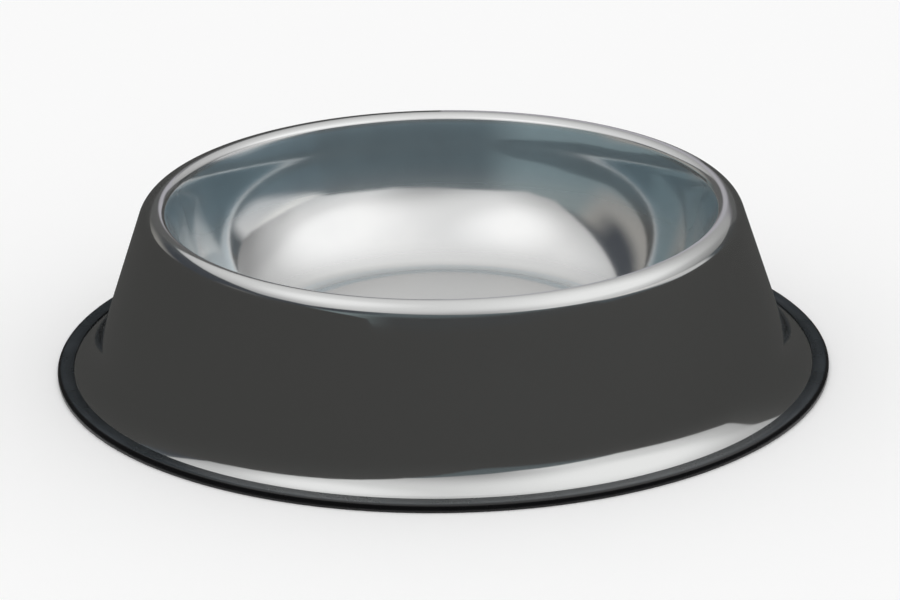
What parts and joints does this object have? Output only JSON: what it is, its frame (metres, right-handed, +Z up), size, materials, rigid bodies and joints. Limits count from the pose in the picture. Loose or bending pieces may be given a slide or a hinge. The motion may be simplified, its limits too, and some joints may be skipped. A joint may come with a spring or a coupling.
{
  "type": "pet bowl",
  "caption": "Non-tip metal bowl for pet food or water: a round basin whose rolled rim leads down to a wide conical skirt, with a rubber ring round its base.",
  "frame": {"origin": "on the table, under the middle of the bowl", "axes": "+Z up along the bowl's axis of turning; the bowl is round, so +X and +Y are any two square directions along the table"},
  "size_m": [0.254, 0.254, 0.0561],
  "materials": {
    "polished_steel": "buffed to a near mirror, with fine turning marks",
    "black_rubber": "satin moulded rubber"
  },
  "bodies": {
    "root": {"steel_bowl": "polished_steel", "rubber_ring": "black_rubber"}
  },
  "joints": []
}
